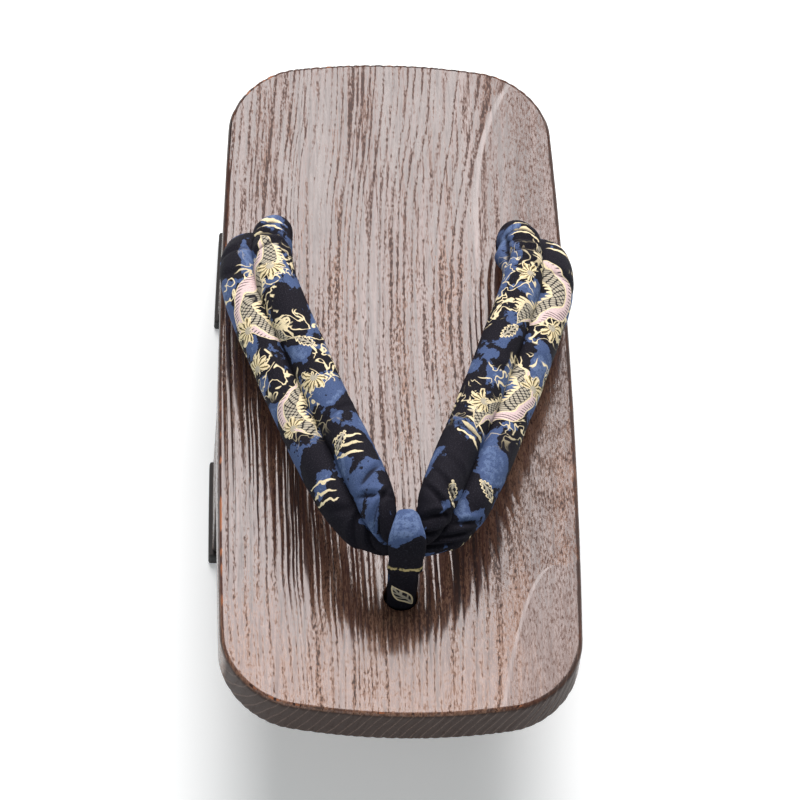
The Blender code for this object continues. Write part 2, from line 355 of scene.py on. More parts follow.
# Burnt and brushed wood, lacquered. Its marks are the count of growth rings, how steep the rings
# stand, and the edge: above 0 worn down to raw wood, below 0 burnt, below -1 charred with painted shade.
wood = {
    "grey": ink(36, 25, 23),
    "pink": ink(72, 44, 36),
    "brown": ink(80, 52, 39),
    "tan": ink(127, 97, 79),
    "pore": ink(50, 29, 22),
    "worn": ink(150, 94, 60),
    "burnt": ink(68, 56, 52),
    "saw": ink(106, 90, 82),
    # nearly black: burnt wood with painted shade, for the teeth's end grain
    "charAndShade": ink(34, 29, 27),
    # noise cells in a metre: thin across the deck, longer along it
    "fibre": (900.0, 22.0, 900.0),
    "streak": (1700.0, 95.0, 1700.0),
    "dash": (2200.0, 560.0, 2200.0),
    "speck": (2300.0, 700.0, 2300.0),
    "cloud": (62.0, 9.0, 62.0),
    "patch": (140.0, 14.0, 140.0),
    # two smooth fields on the flat-sawn side, in mm: the line's x at its near end, how far it swings,
    # y where the swing starts and its length, and the power of the swing
    "heelField": (29.0, 12.0, 55.0, 67.0, 3.0),
    "toeField": (53.0, -19.0, -73.5, -48.5, 0.45),
    # y where a field begins and is full, and where the wood begins to turn tan or grey and has turned
    "heelFieldFrom": (40.0, 62.0),
    "toeFieldFrom": (-72.0, -76.0),
    "tanFrom": (-62.0, -122.0),
    "greyFrom": (30.0, 90.0),
    "baseRough": 0.6,
    "baseGloss": 0.12,
    "coatRough": 0.13,
    "coatIndex": 1.72,
    "bump": 0.35,
    "bumpHeight": 0.4 * mm,
    "sawPitch": 3.4 * mm,
    "sawSlant": 0.55,
}


# the colour goes by the part of a ring and by noises that are stretched along the grain
def woodFinish():
    material, start, shader = startFinish("burnt wood")
    marks = start.node("ShaderNodeAttribute", {"attribute_name": "marks"}, {}, "Vector")
    ring, pores, edge = (marks.apart(index) for index in range(3))
    place = start.node("ShaderNodeTexCoord", {}, {}, "Object")
    x, y = place.apart(0) / mm, place.apart(1) / mm
    # noises about 0
    fibre, streak, dash, speck, cloud, patch = (
        place.stretched(wood[name]).noise(1.0, 2.0, 0.55) - 0.5
        for name in ("fibre", "streak", "dash", "speck", "cloud", "patch")
    )
    flat = 1.0 - pores
    toeward, heelward = y.rise(*wood["tanFrom"]), y.rise(*wood["greyFrom"])

    # each ring opens with a dark line and porous early wood, then turns to smooth late wood; rings
    # differ in share and strength
    part = ring.math("FRACT")
    count = ring.math("FLOOR")
    chance = start.node("ShaderNodeTexWhiteNoise", {"noise_dimensions": "1D"}, {"W": count})
    other = start.node("ShaderNodeTexWhiteNoise", {"noise_dimensions": "1D"}, {"W": count + 0.5})
    early = 0.36 + chance * 0.45 + cloud * 0.5 + fibre * 0.4
    porous = part.rise(0.0, 0.2) * (part / early).rise(1.0, 0.3) * (0.4 + other * 0.6)
    line = part.rise(0.0, 0.07) * part.rise(0.24, 0.08) * (other + fibre).rise(0.1, 0.6)

    # smooth fields with a light line along their edge, which swings off as a power of y
    def field(x0, swing, y0, length, power):
        return x - ((y - y0) / length).atTop(0.0).math("POWER", power) * swing - x0

    heelEdge, toeEdge = field(*wood["heelField"]), field(*wood["toeField"])
    heelSide, toeSide = y.rise(*wood["heelFieldFrom"]), y.rise(*wood["toeFieldFrom"])
    smooth = heelEdge.rise(-0.6, 0.8) * heelSide + toeEdge.rise(-0.4, 0.4) * toeSide
    lightLine = abs(heelEdge).rise(1.2, 0.4) * heelSide + abs(toeEdge).rise(0.8, 0.3) * toeSide

    # how open the wood is: porous rings and every noise, most of them weaker where the rings lie flat
    sunk = porous * (0.2 + pores * 0.27) * (1.0 - smooth * 0.75) + line * pores * 0.12
    sunk = sunk + fibre * (0.2 + pores * 1.2) + (cloud * 0.9 + patch * 0.6) * (0.25 + pores * 0.75)
    sunk = sunk + streak * (0.2 + pores * 0.9) + speck * (0.5 + pores * porous * 2.0)
    sunk = sunk + dash * (1.9 - heelward * pores - smooth * 0.3 - flat * 0.3)
    sunk = sunk + flat * (0.22 - smooth * 0.06) - lightLine * 0.4 - toeward * 0.05 + 0.04
    broken = sunk.rise(-0.2, 1.0)
    rosy = (fibre + cloud * 0.5 + chance * 0.2 - heelward * 0.2 + toeward * 0.15).rise(-0.2, 0.3)
    colour = rosy.blend(wood["grey"], wood["pink"])
    warm = (patch + streak) * 0.7 + toeward * 0.28 - heelward * 0.12 + flat * 0.05 - smooth * 0.35
    bare = (broken + toeward * 0.2).rise(0.05, 0.5)
    colour = bare.blend(colour, warm.rise(-0.09, 0.28).blend(wood["brown"], wood["tan"]))
    deep = (broken + speck * 0.9 - toeward * 0.15).rise(0.5, 0.9)
    colour = deep.blend(colour, wood["pore"])

    # the worn rim is raw on the ridges and dark in the valleys
    raw = (edge * (dash * 0.8 + 1.1) * (1.0 - porous * 0.9)).rise(0.3, 0.7)
    colour = raw.blend(colour, wood["worn"])
    colour = (edge.rise(0.1, 0.35) * porous.rise(0.15, 0.4)).blend(colour, wood["pore"])

    # burnt faces show slanting saw marks, and charred ones are nearly black: real burn with painted shade
    burn = edge.rise(-0.2, -0.7)
    slant = (place.apart(0) - place.apart(2) * wood["sawSlant"]) / wood["sawPitch"] + cloud * 0.8 + 0.4
    saw = abs(slant.math("FRACT") - 0.5).rise(0.1, 0.03) * dash.rise(-0.2, 0.1)
    colour = burn.blend(colour, saw.blend(wood["burnt"], wood["saw"]))
    colour = (edge.rise(-1.1, -1.7) * (0.95 - saw * 0.2)).blend(colour, wood["charAndShade"])

    # the lacquer's shine is what makes ridges pale; it is broken where the wood is open or burnt
    shine = 0.86 + cloud * 0.25 + (fibre + streak) * 0.7 + dash * 0.5
    shine = shine * (1.0 - flat * 0.16) * (1.0 - toeward * 0.17) + lightLine * 0.1
    coat = (1.0 - broken.rise(0.0, 0.68) * 0.88) * (1.0 - burn * 0.85) * shine.math("MINIMUM", 1.0)
    height = fibre * 0.2 - broken * 0.6 - deep * 0.3
    feed(
        shader, Base_Color=colour, Roughness=wood["baseRough"], Specular_IOR_Level=wood["baseGloss"],
        Coat_Weight=coat, Coat_Roughness=wood["coatRough"], Coat_IOR=wood["coatIndex"],
        Normal=height.bumped(wood),
    )
    return material


# growth rings of random widths: a ring opens with a groove, and its late wood stands as a low crown
# that leans a little. Gives the ring count, the groove and the crown's height.
def ringMarks(across, width, seed):
    chance = np.random.default_rng(seed)
    count = 240
    edges = np.cumsum(chance.uniform(width[0], width[1], count))
    depth = chance.uniform(0.4, 1.0, count)
    lean = chance.uniform(-1.0, 1.0, count)
    index = np.interp(across, edges, np.arange(count))
    ring = np.minimum(np.floor(index).astype(int), count - 2)
    part = index - ring
    groove = depth[ring] * rise(part, 0.0, 0.1) * (1 - rise(part, 0.12, 0.55))
    crown = 1 - (2 * part - 1) ** 2 + 0.7 * lean[ring] * (2 * part - 1)
    return index, groove, crown * np.diff(edges)[ring] / width[1]


# a slab: every outline point is joined to its own point of a spine in the middle. Rows run from the
# spine over the top, round the edge and down the side along the outline's outward normal, round
# again and back below. Gives the places, their outward directions and each row's tilt.
def slabGrid(outline, spine, low, high, edge, counts):
    ahead = np.roll(outline, -1, axis=0) - np.roll(outline, 1, axis=0)
    way = unit(np.column_stack([ahead[:, 1], -ahead[:, 0]]))
    topRows, edgeRows, sideRows, baseRows = counts
    turn = np.linspace(0.0, math.pi / 2, edgeRows)[1:]
    height = high - low
    side = np.linspace(edge, height - edge, sideRows)[1:]
    under = np.linspace(1.0, 0.0, baseRows)[1:]
    # every row's share of the way from the spine to the edge, its step past that, depth and tilt
    share = np.concatenate([np.linspace(0.0, 1.0, topRows), np.ones(2 * len(turn) + len(side)), under])
    step = np.concatenate([
        np.zeros(topRows), edge * np.sin(turn), np.full(len(side), edge), edge * np.cos(turn), 0 * under,
    ])
    down = np.concatenate([
        np.zeros(topRows), edge * (1 - np.cos(turn)), side, height - edge * (1 - np.sin(turn)),
        np.full(len(under), height),
    ])
    tilt = np.concatenate([
        np.zeros(topRows), turn, np.full(len(side), math.pi / 2), math.pi / 2 + turn,
        np.full(len(under), math.pi),
    ])
    flat = spine + share[:, None, None] * (outline - edge * way - spine) + step[:, None, None] * way
    level = np.broadcast_to((high - down)[:, None, None], (*flat.shape[:2], 1))
    upward = np.broadcast_to(np.cos(tilt)[:, None, None], level.shape)
    facing = np.concatenate([np.sin(tilt)[:, None, None] * way, upward], axis=-1)
    return np.concatenate([flat, level], axis=-1), facing, tilt


# points along a line, as close together as the wished steps along x and y ask
def spread(line, count, steps=(1.0, 1.0)):
    along = lengthAlong(line / steps)
    wanted = np.linspace(0.0, along[-1], count)
    return np.column_stack([np.interp(wanted, along, line[:, axis]) for axis in range(2)])


# Deck, in mm
deck = {
    "toeHalfWidth": 59.0,        # side line carried on to the toe end
    "heelHalfWidth": 54.5,
    "sideBow": 3.3,
    "toeSag": 8.4,
    "heelSag": 7.4,
    "toeCorner": 22.4,
    "heelCorner": 21.8,
    "edgeRound": 1.8,
    "columns": 210,              # in a quarter of the outline
    "columnSteps": (0.3, 3.0),   # columns are close together across the grain
    "rows": (64, 8, 14, 24),
    "ringWidth": (0.9, 3.7),
    "ringSeed": 11,
    "pith": (54.0, -22.0),       # the tree's middle: across the deck, and below its top
    "pithSway": (3.0, 70.0, 217.0),    # how far it wanders across, over what length, and the start
    "pithDip": (6.0, 36.0, 84.0),      # the same for its depth
    "ringWander": ((0.8, 42.0, 16.0, 21), (0.3, 13.0, 6.0, 22)),
    "steepFrom": (0.35, 0.85),   # sideways share of a ring's direction, from flat to steep
    "grooveDepth": 0.22,
    "crownHeight": 0.036,
    "toeSmoothing": (0.6, -62.0, -108.0),    # share, and y where it begins and is full
    "sawDepth": 0.3,             # slanting saw marks on the end faces
    "sawWander": ((0.5, 9.0, 9.0, 31),),
    # the rim is worn and then dark where it has turned down by these angles, in radians
    "wornTilt": 0.4,
    "darkTilt": 1.1,
    "tiltSpread": 0.3,
    "wornSpots": ((0.8, 3.5, 3.5, 41), (0.32, 14.0, 14.0, 42)),
    "wornLess": (0.9, 30.0, 52.0),    # by how much on the right side, and x where it begins and is full
    "strapHole": (42.7, 48.8, 6.4),
    "toeHole": (0.0, -86.5, 5.8),
    "holeSides": 36,
    "cutMargin": 5.0,
}
deckLow, deckHigh = (np.array(corner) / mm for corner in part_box("deck"))
deckLength = deckHigh[1] - deckLow[1]
deckBase, deckTop = deckLow[2], deckHigh[2]


# straight taper from toe to heel, plus a parabola that swells the middle
def halfWidth(y):
    share = y / deckLength + 0.5
    straight = mixed(deck["toeHalfWidth"], deck["heelHalfWidth"], share)
    return straight + 4 * deck["sideBow"] * share * (1 - share)


# right half of one end: a parabola across the end, then a conic round the corner to the side
def deckEnd(sign, sag, endHalf, corner):
    across = np.linspace(0.0, endHalf - corner, 240)
    face = np.column_stack([across, sign * (deckLength / 2 - sag * (across / endHalf) ** 2)])
    faceWay = np.array([1.0, -sign * 2 * sag * across[-1] / endHalf**2])
    sideY = sign * (deckLength / 2 - sag - corner)
    side = np.array([halfWidth(sideY), sideY])
    sideWay = np.array([(halfWidth(sideY + 0.1) - halfWidth(sideY - 0.1)) / 0.2, 1.0])
    apex = face[-1] + faceWay * np.linalg.solve(np.column_stack([faceWay, sideWay]), side - face[-1])[0]
    u = np.linspace(0.0, 1.0, 240)[1:, None]
    pull = math.sqrt(2.0) * u * (1 - u)
    near, far = (1 - u) ** 2, u**2
    turn = (near * face[-1] + pull * apex + far * side) / (near + pull + far)
    return np.vstack([face, turn])


# the outline, and a spine across the widest place, so that a toe and a heel column meet end to end
def deckOutline():
    taper = (deck["toeHalfWidth"] - deck["heelHalfWidth"]) / (4 * deck["sideBow"])
    widestY = -taper / 2 * deckLength
    quarters = []
    for sign, name in ((-1, "toe"), (1, "heel")):
        end = deckEnd(sign, deck[name + "Sag"], deck[name + "HalfWidth"], deck[name + "Corner"])
        y = np.linspace(end[-1, 1], widestY, 400)[1:]
        quarter = np.vstack([end, np.column_stack([halfWidth(y), y])])
        quarters.append(spread(quarter, deck["columns"], deck["columnSteps"]))
    toe, heel = quarters
    middle = (toe + heel) / 2 * (1 - deck["edgeRound"] / halfWidth(widestY), 0.0) + (0.0, widestY)
    mirror = (-1.0, 1.0)
    outline = np.vstack([toe, heel[-2::-1], heel[1:] * mirror, toe[-2:0:-1] * mirror])
    spine = np.vstack([middle, middle[-2::-1], middle[1:] * mirror, middle[-2:0:-1] * mirror])
    return outline, spine


# rings are cylinders round the tree's middle line, which wanders along the deck; where they lie
# almost flat their grooves are shallower
def deckMarks(grid):
    x, y, z = np.moveaxis(grid, -1, 0)
    sway, swayLength, swayStart = deck["pithSway"]
    dip, dipLength, dipStart = deck["pithDip"]
    pithX = deck["pith"][0] + sway * softNoise((y + swayStart) / swayLength, 0 * y, 5)
    pithZ = deck["pith"][1] - dip * np.cos((y + dipStart) / dipLength) + deckTop
    reach = np.hypot(x - pithX, z - pithZ)
    across = reach + waves(y, x, deck["ringWander"])
    ring, groove, crown = ringMarks(across, deck["ringWidth"], deck["ringSeed"])
    steep = rise(np.abs(x - pithX) / reach, *deck["steepFrom"])
    return ring, groove * (0.3 + 0.7 * steep), crown, steep


# round holes through a piece: each takes away a cylinder, which is a skin of four rings from a point
# to its rim, the other rim and a point
def cutHoles(piece, holes, low, high):
    cutters = []
    turn = np.linspace(0.0, 2 * math.pi, deck["holeSides"], endpoint=False)
    for x, y, radius in holes:
        radii = np.array([0.0, radius, radius, 0.0])[:, None]
        heights = np.array([low, low, high, high])[:, None] + 0 * turn
        grid = np.stack([x + radii * np.cos(turn), y + radii * np.sin(turn), heights], axis=-1)
        cutter = addSkin("cutter", grid * mm)
        cut = piece.modifiers.new("hole", "BOOLEAN")
        cut.object = cutter
        cut.operation = "DIFFERENCE"
        cut.solver = "MANIFOLD"
        cutters.append(cutter)
    graph = bpy.context.evaluated_depsgraph_get()
    solid = bpy.data.meshes.new_from_object(piece.evaluated_get(graph))
    piece.modifiers.clear()
    piece.data = solid
    for cutter in cutters:
        bpy.data.objects.remove(cutter)


# the slab sinks in along its outward directions by the depth of grooves, crowns and saw marks
def addDeck(finish):
    outline, spine = deckOutline()
    grid, facing, tilt = slabGrid(outline, spine, deckBase, deckTop, deck["edgeRound"], deck["rows"])
    tilt = tilt[:, None]
    ring, groove, crown, pores = deckMarks(grid)
    x, y, z = np.moveaxis(grid, -1, 0)
    endFace = np.sin(tilt) * rise(np.abs(facing[..., 1]), 0.15, 0.6)
    slant = (x - (z - deckBase) * wood["sawSlant"]) * mm / wood["sawPitch"]
    saw = np.abs(np.sin(math.pi * (slant + waves(x, z, deck["sawWander"])))) ** 0.6
    toeShare, *toeFrom = deck["toeSmoothing"]
    depth = deck["grooveDepth"] * groove + deck["crownHeight"] * (1 - crown) * (1 - endFace)
    depth = depth * (1 - toeShare * rise(y, *toeFrom)) + deck["sawDepth"] * (1 - saw) * endFace

    # the rim is worn in spots, less on the right side, and dark below that
    lessShare, *lessFrom = deck["wornLess"]
    worn = 0.2 + waves(x, y, deck["wornSpots"]) - lessShare * rise(x, *lessFrom)
    wide = deck["tiltSpread"]
    worn = worn * bell((tilt - deck["wornTilt"]) / wide) - 0.6 * bell((tilt - deck["darkTilt"]) / wide)
    burnt = rise(tilt, 0.9, 1.4) * endFace
    marks = np.stack([ring, pores, mixed(worn, -1.0, burnt)], axis=-1)
    piece = addSkin("deck_wood", (grid - facing * depth[..., None]) * mm, marks=marks)
    holeX, holeY, holeRadius = deck["strapHole"]
    holes = [deck["toeHole"], (holeX, holeY, holeRadius), (-holeX, holeY, holeRadius)]
    cutHoles(piece, holes, deckBase - deck["cutMargin"], deckTop + deck["cutMargin"])
    piece.data.materials.clear()
    piece.data.materials.append(finish)
    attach(piece, "root")
    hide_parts("deck")
    print("deck", len(piece.data.polygons), "faces")


# Teeth: blocks under the deck, their rings almost level
tooth = {
    "edgeRound": 1.2,
    "columns": 191,              # in half of the outline
    "rows": (8, 5, 64, 8),
    "ringWidth": (1.2, 4.0),
    "grooveDepth": 0.2,
    "crownHeight": 0.035,
    "ringStart": 60.0,           # mm of rings below the floor
    "wave": 1.7,                 # how far the level rings roll up and down, mm
    "waveLength": (22.0, 40.0),  # along y and x
    "ripple": 0.4,               # share of a finer wave
    "rippleLength": (7.0, 20.0),
    "ringBow": 0.0009,           # rings rise with the square of the distance from their middle
    "bowMiddle": 10.0,
    "pores": 0.8,
    "inset": 0.2,                # behind the deck's side
}


# half of the outline goes from the middle of the front face, round two quarter circles and the side
# between them, to the middle of the rear face. Front and rear columns share the spine's points.
def toothOutline(halfLength, halfTop, middleY):
    soft = tooth["edgeRound"]
    turn = np.linspace(0.0, math.pi / 2, 8)
    sine, cosine = soft * np.sin(turn), soft * np.cos(turn)
    straight = halfLength - soft
    side = np.linspace(-straight, straight, 40)
    sideX = halfWidth(middleY + side) - tooth["inset"]
    right = np.vstack([
        [(0.0, -halfLength)],
        np.column_stack([sideX[0] - soft + sine, -straight - cosine]),
        np.column_stack([sideX, side]),
        np.column_stack([sideX[-1] - soft + cosine, straight + sine]),
        [(0.0, halfLength)],
    ])
    right = spread(right, tooth["columns"])
    outline = np.vstack([right, right[-2:0:-1] * (-1.0, 1.0)])
    reach = halfTop - halfLength
    spine = np.column_stack([np.clip(outline[:, 0], -reach, reach), 0 * outline[:, 1]])
    return outline + (0.0, middleY), spine + (0.0, middleY)


# a slab that sinks in by the depth of its grooves and crowns; its rings are waves that bow upwards
def addTooth(node, seed, finish):
    low, high = (np.array(corner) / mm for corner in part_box(node))
    outline, spine = toothOutline((high[1] - low[1]) / 2, high[0], (low[1] + high[1]) / 2)
    grid, facing, tilt = slabGrid(outline, spine, low[2], high[2], tooth["edgeRound"], tooth["rows"])
    x, y, z = np.moveaxis(grid, -1, 0)
    waveY, waveX = tooth["waveLength"]
    rippleY, rippleX = tooth["rippleLength"]
    roll = softNoise(y / waveY + seed, x / waveX, seed)
    roll = roll + tooth["ripple"] * softNoise(y / rippleY, x / rippleX + seed, seed + 1)
    bow = tooth["ringBow"] * (x - tooth["bowMiddle"]) ** 2
    across = z + tooth["ringStart"] + tooth["wave"] * roll + bow
    ring, groove, crown = ringMarks(across, tooth["ringWidth"], seed)
    # end grain faces are burnt, and painted nearly black as shade on top of the burn
    endGrain = np.sin(tilt)[:, None] * rise(np.abs(facing[..., 1]), 0.5, 0.9)
    marks = np.stack([ring, np.full_like(ring, tooth["pores"]), -2 * endGrain], axis=-1)
    depth = tooth["grooveDepth"] * groove + tooth["crownHeight"] * (1 - crown)
    piece = addSkin(node + "_wood", (grid - facing * depth[..., None]) * mm, marks=marks)
    piece.data.materials.append(finish)
    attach(piece, "root")
    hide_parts(node)
    print(node, len(piece.data.polygons), "faces")


# Rubber treads keep the frame's own solids
rubber = {
    "colour": ink(26, 26, 27),
    "dust": ink(48, 47, 46),
    "rough": 0.62,
    "bump": 0.25,
    "bumpHeight": 0.3 * mm,
}


# dust lies in the clouds of a wide noise, and a fine one roughens the rubber
def rubberFinish():
    material, start, shader = startFinish("tread rubber")
    place = start.node("ShaderNodeTexCoord", {}, {}, "Object")
    fine = place.noise(1400.0, 3.0, 0.6)
    cloud = place.noise(60.0, 3.0, 0.6)
    colour = (cloud * 0.7 + fine * 0.4).rise(0.45, 0.8).blend(rubber["colour"], rubber["dust"])
    rough = rubber["rough"] + (fine - 0.5) * 0.3
    feed(shader, Base_Color=colour, Roughness=rough, Normal=fine.bumped(rubber))
    return material


# Printed cotton. The cloth chart is in mm along and round the strap, 0 at the toe and the top crease.
cotton = {
    "black": ink(19, 19, 28),
    "blue": ink(68, 88, 127),
    "paleBlue": ink(93, 115, 153),
    "gold": ink(230, 220, 182),
    "deepGold": ink(190, 176, 126),
    "net": ink(176, 173, 156),
    "netGround": ink(34, 34, 38),
    "thread": ink(126, 131, 146),
    "paleSide": ink(214, 196, 196),
    "chartSize": 100.0,          # mm in one unit of the chart
    "fewClouds": (60.0, 20.0),   # distance from the toe where clouds grow fewer
    "fewCloudsRight": (20.0, 60.0),
    "busyFrom": (44.0, 60.0),    # distances from the toe between which thin lines curl
    "busyTo": (134.0, 120.0),
    "bandSwing": 8.5,            # the netted bands wind from side to side
    "bandLength": 44.0,
    "bandHalf": 4.4,
    "bandTaper": 14.0,
    # where a band starts and ends along the strap, left arm first
    "bands": ((-134.0, -86.0), (-76.0, -48.0), (46.0, 84.0), (94.0, 134.0)),
    # place along and round, turn, half length, half width, depth of the edge's teeth
    "leaves": (
        (-40.0, 7.0, 0.9, 4.6, 1.9, 0.38), (-83.0, 11.0, 2.4, 4.4, 1.8, 0.38),
        (30.0, -8.0, 2.0, 4.6, 1.9, 0.38), (90.0, 9.5, 0.5, 4.6, 1.9, 0.38),
        (20.0, 8.0, 2.6, 4.0, 1.7, 0.38), (227.0, 146.0, -0.5, 6.8, 2.1, 0.0),
    ),
    # place along and round, turn, radius
    "tufts": (
        (-118.0, 9.5, 0.3, 6.4), (-99.0, -9.0, 1.9, 6.0), (-68.0, 8.5, 0.8, 6.2),
        (-55.0, -8.5, 2.7, 5.0), (-84.0, -12.0, 3.6, 6.2), (58.0, 9.0, 4.3, 5.6),
        (75.0, -9.5, 0.2, 6.4), (102.0, -8.0, 2.2, 6.0), (117.0, 9.0, 5.0, 5.6),
    ),
    # groups of short brush strokes across a roll: place along and round
    "strokes": (
        (46.0, 8.0), (-28.0, -9.0), (-37.0, 9.0), (13.0, -17.0),
        (-137.0, 9.0), (139.0, 9.0), (138.0, -8.0),
    ),
    "strokeTurn": 0.25,
    "strokeHalf": 7.0,
    # the loop has its own stretch of the chart: its leg is black, its top is blue
    "loopLeg": (200.0, 254.0),
    "loopTop": (254.0, 276.0),
    "loopLine": 243.5,
    "weave": 14.0,               # radians of its waves in a mm
    "rough": 0.82,
    "gloss": 0.14,
    "bump": 0.35,
    "bumpHeight": 0.14 * mm,
}


# every motif is a field that is above 0 inside it, and is laid over the colour so far
def clothFinish():
    material, start, shader = startFinish("printed cotton")
    chart = start.node("ShaderNodeUVMap", {"uv_map": "cloth"}, {}, "UV")
    chart = chart.stretched((cotton["chartSize"], cotton["chartSize"], 0.0))
    along, around = chart.apart(0), chart.apart(1)
    ragged = chart.noise(0.6, 3.0, 0.6)

    # 1 between two places along the strap
    def between(low, high, soft):
        return along.rise(low, low + soft) * along.rise(high, high - soft)

    # a motif's own axes: from its middle, turned
    def motif(placeAlong, placeAround, turn):
        away = chart.shifted((-placeAlong, -placeAround, 0.0))
        values = {"Vector": away, "Angle": turn}
        return away.node("ShaderNodeVectorRotate", {"rotation_type": "Z_AXIS"}, values)

    # clouds of blue on black, with ragged edges and paler middles
    cloud = chart.noise(0.075, 2.0, 0.45, 0.5) + (ragged - 0.5) * 0.16
    fewer = abs(along).rise(*cotton["fewClouds"]) * 0.03 + along.rise(*cotton["fewCloudsRight"]) * 0.025
    cloud = cloud - fewer
    cloud = cloud - between(*cotton["loopLeg"], 3.0) * 0.3 + between(*cotton["loopTop"], 4.0) * 0.165
    colour = cloud.rise(0.53, 0.545).blend(cotton["black"], cotton["blue"])
    colour = (cloud.rise(0.6, 0.64) * ragged.rise(0.35, 0.6)).blend(colour, cotton["paleBlue"])

    # curling thin lines where a soft field crosses its middle level, in patches of the busy stretches
    busy = abs(along).rise(*cotton["busyFrom"]) * abs(along).rise(*cotton["busyTo"])
    curl = chart.shifted((55.0, 23.0, 0.0)).noise(0.2, 1.0, 0.5, 0.9)
    patch = chart.shifted((37.0, 11.0, 0.0)).noise(0.06, 1.0).rise(0.49, 0.52)
    colour = (abs(curl - 0.5).rise(0.04, 0.018) * patch * busy).blend(colour, cotton["gold"])

    # brush strokes: the crests of a short wave that bends, thinner to both sides
    for placeAlong, placeAround in cotton["strokes"]:
        own = motif(placeAlong, placeAround, cotton["strokeTurn"])
        over, wide = own.apart(0) + curl * 3.0, own.apart(1) / cotton["strokeHalf"]
        stroke = (over * 2.0).sin() - wide * wide * 0.9 + (ragged - 0.5) * 0.6
        colour = (stroke.rise(0.4, 0.55) * abs(over - 1.5).rise(4.6, 4.2)).blend(colour, cotton["gold"])

    # bands that wind along the strap as a sine: a net, a pale ribbed side and a fringe
    swing, turn = cotton["bandSwing"], 2 * math.pi / cotton["bandLength"]
    phase = along * turn + chart.noise(0.11, 1.0) * 1.6
    slope = phase.math("COSINE") * (swing * turn)
    off = (around - phase.sin() * swing) / (slope * slope + 1.0).math("SQRT")
    present = sum(between(low, high, cotton["bandTaper"]) for low, high in cotton["bands"])
    half = present.math("SQRT") * cotton["bandHalf"]
    length = along * 1.28
    mesh = ((length + off) * 1.6).sin() * ((length - off) * 1.6).sin()
    net = abs(mesh).rise(0.14, 0.42).blend(cotton["netGround"], cotton["net"])
    ribs = (length * 4.4 + off * 1.2).sin().rise(0.5, 0.8) * off.rise(-1.9, -2.6)
    paleSide = ribs.blend(cotton["paleSide"], cotton["netGround"])
    band = off.rise(-0.9, -1.0).blend(net, paleSide)
    rails = abs(off + 0.95).rise(0.3, 0.16).atTop((half - abs(off)).rise(0.5, 0.25))
    band = rails.blend(band, cotton["gold"])
    tips = abs((length * 1.7 + ragged * 2.0).sin()) * 2.0
    fringe = (half + tips - off).rise(0.0, 0.15) * (off - half).rise(-0.1, 0.0) * present.rise(0.3, 0.5)
    colour = fringe.blend(colour, cotton["gold"])
    colour = (half - abs(off)).rise(0.0, 0.12).blend(colour, band)

    # tufts: fans of ragged rays round a grey core
    for placeAlong, placeAround, turn, size in cotton["tufts"]:
        own = motif(placeAlong, placeAround, turn)
        reach = own.node("ShaderNodeVectorMath", {"operation": "LENGTH"}, {0: own}, "Value") / size
        angle = own.apart(1).math("ARCTAN2", own.apart(0))
        lobes = abs((angle * 3.5 + ragged * 2.0).sin())
        rim = 0.55 + lobes * 0.4 + (ragged - 0.5) * 0.7 - abs(angle).rise(1.5, 2.7) * 0.6 - reach
        rays = (angle * 13.0 + reach * 4.0 + ragged * 6.0).sin()
        inner = rays.rise(-0.2, 0.5).blend(cotton["deepGold"], cotton["gold"])
        inner = rays.rise(-0.55, -0.85).blend(inner, cotton["netGround"])
        inner = reach.rise(0.24, 0.2).blend(inner, cotton["net"])
        inner = rim.rise(0.12, 0.08).blend(inner, cotton["gold"])
        colour = rim.rise(0.0, 0.04).blend(colour, inner)

    # leaves: a parabola to each side with a toothed edge, a midrib and veins
    for placeAlong, placeAround, turn, reach, breadth, teeth in cotton["leaves"]:
        own = motif(placeAlong, placeAround, turn)
        tip, wide = own.apart(0) / reach, abs(own.apart(1)) / breadth
        rim = 1.0 - tip * tip - wide + (abs((tip * 9.0 + wide * 2.5).sin()) - 0.5) * teeth
        veins = ((tip - wide * 0.55) * 15.0).sin().rise(0.2, 0.6).atTop(wide.rise(0.19, 0.12))
        inner = veins.blend(cotton["netGround"], cotton["net"])
        inner = rim.rise(0.36, 0.24).blend(inner, cotton["gold"])
        colour = rim.rise(0.0, 0.07).blend(colour, inner)

    # a pale line on the fold where the loop is drawn together
    seam = abs(along + (ragged - 0.5) * 2.4 - cotton["loopLine"]).rise(0.9, 0.5)
    colour = (seam * ragged.rise(0.35, 0.55)).blend(colour, cotton["deepGold"])

    # pale and dark threads show, and shade is painted into the troughs of the folds
    thread = chart.noise(2.4, 2.0, 0.6)
    colour = (thread.rise(0.5, 0.75) * 0.1).blend(colour, cotton["thread"])
    colour = (thread.rise(0.5, 0.25) * 0.5).blend(colour, cotton["black"])
    fold = start.node("ShaderNodeAttribute", {"attribute_name": "marks"}, {}, "Vector").apart(0)
    colour = (fold.rise(0.15, 0.9) * 0.85).blend(colour, cotton["black"])

    # plain weave: two fine waves, and a little lint
    weave = (along * cotton["weave"]).sin() * (around * cotton["weave"]).sin()
    lint = chart.noise(1.7, 3.0, 0.7)
    bump = (weave * 0.5 + lint).bumped(cotton)
    rough = cotton["rough"] + (lint - 0.5) * 0.2
    feed(shader, Base_Color=colour, Roughness=rough, Specular_IOR_Level=cotton["gloss"], Normal=bump)
    return material


# places in the cloth's chart from mm along and round
def clothChart(along, around):
    return np.stack(np.broadcast_arrays(along, around), axis=-1) / cotton["chartSize"]


